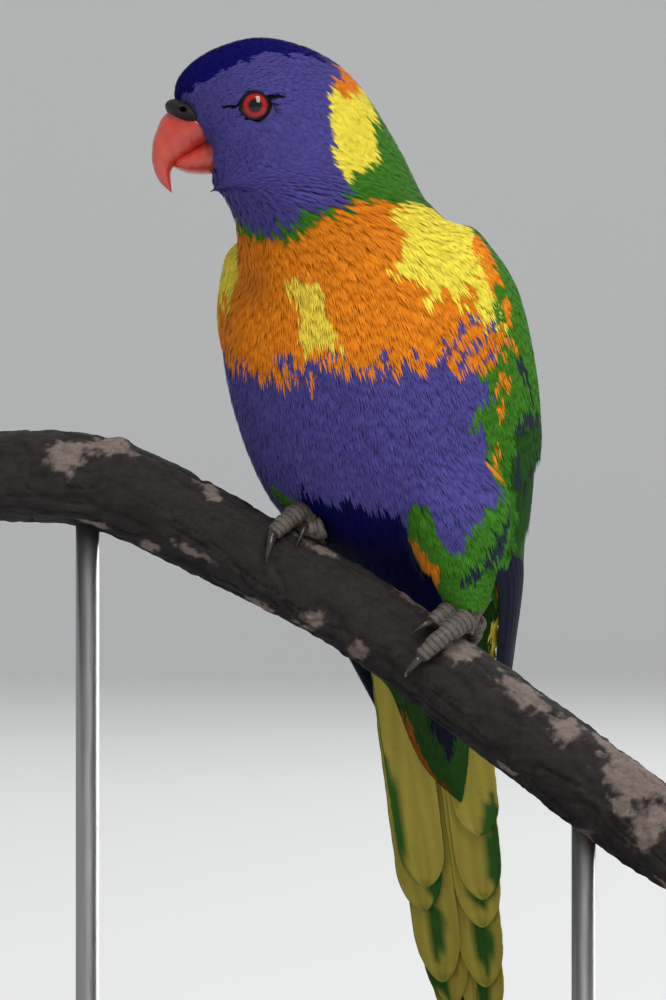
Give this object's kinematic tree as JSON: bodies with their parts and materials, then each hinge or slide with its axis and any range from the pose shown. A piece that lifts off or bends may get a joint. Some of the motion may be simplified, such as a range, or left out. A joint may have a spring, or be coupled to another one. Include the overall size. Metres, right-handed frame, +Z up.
{
  "type": "rainbow lorikeet",
  "caption": "Life-size rainbow lorikeet gripping a short sloping length of branch, head turned to its right, held up by a plain flat stand on thin rods.",
  "frame": {"origin": "middle of the underside of the stand's board", "axes": "+Z up; the bird's breast faces -Y, turned 30 degrees towards -X, and its bill points along -X"},
  "size_m": [0.1927, 0.1401, 0.2858],
  "materials": {
    "face_plumage": "fine close feathers, soft sheen",
    "neck_plumage": "fine close feathers, soft sheen",
    "body_plumage": "overlapping body feathers, soft sheen",
    "thigh_plumage": "loose downy feathers, matt",
    "wing_plumage": "firm overlapping coverts, satin",
    "quills": "stiff flight feathers, satin",
    "tail_plumage": "stiff flight feathers, satin",
    "bill": "smooth horn, glossy",
    "cere": "bare skin, satin",
    "eye": "wet, mirror-glossy",
    "foot_skin": "scaly skin, matt",
    "claw": "dark horn, semi-gloss",
    "bark": "rough bark with pale patches",
    "stand_board": "satin-varnished board",
    "stand_steel": "brushed rod"
  },
  "bodies": {
    "root": {"bill_lower": "bill", "bill_upper": "bill", "cere": "cere", "claw_left_inner_back": "claw", "claw_left_inner_front": "claw", "claw_left_outer_back": "claw", "claw_left_outer_front": "claw", "claw_right_inner_back": "claw", "claw_right_inner_front": "claw", "claw_right_outer_back": "claw", "claw_right_outer_front": "claw", "eye_left": "eye", "eye_right": "eye", "head": "face_plumage", "neck": "neck_plumage", "perch": "bark", "stand_base": "stand_board", "stand_rod_1": "stand_steel", "stand_rod_2": "stand_steel", "tail": "tail_plumage", "tarsus_left": "foot_skin", "tarsus_right": "foot_skin", "thigh_left": "thigh_plumage", "thigh_right": "thigh_plumage", "toe_left_inner_back": "foot_skin", "toe_left_inner_front": "foot_skin", "toe_left_outer_back": "foot_skin", "toe_left_outer_front": "foot_skin", "toe_right_inner_back": "foot_skin", "toe_right_inner_front": "foot_skin", "toe_right_outer_back": "foot_skin", "toe_right_outer_front": "foot_skin", "trunk": "body_plumage", "wing_left": "wing_plumage", "wing_quills_left": "quills", "wing_quills_right": "quills", "wing_right": "wing_plumage"}
  },
  "joints": []
}
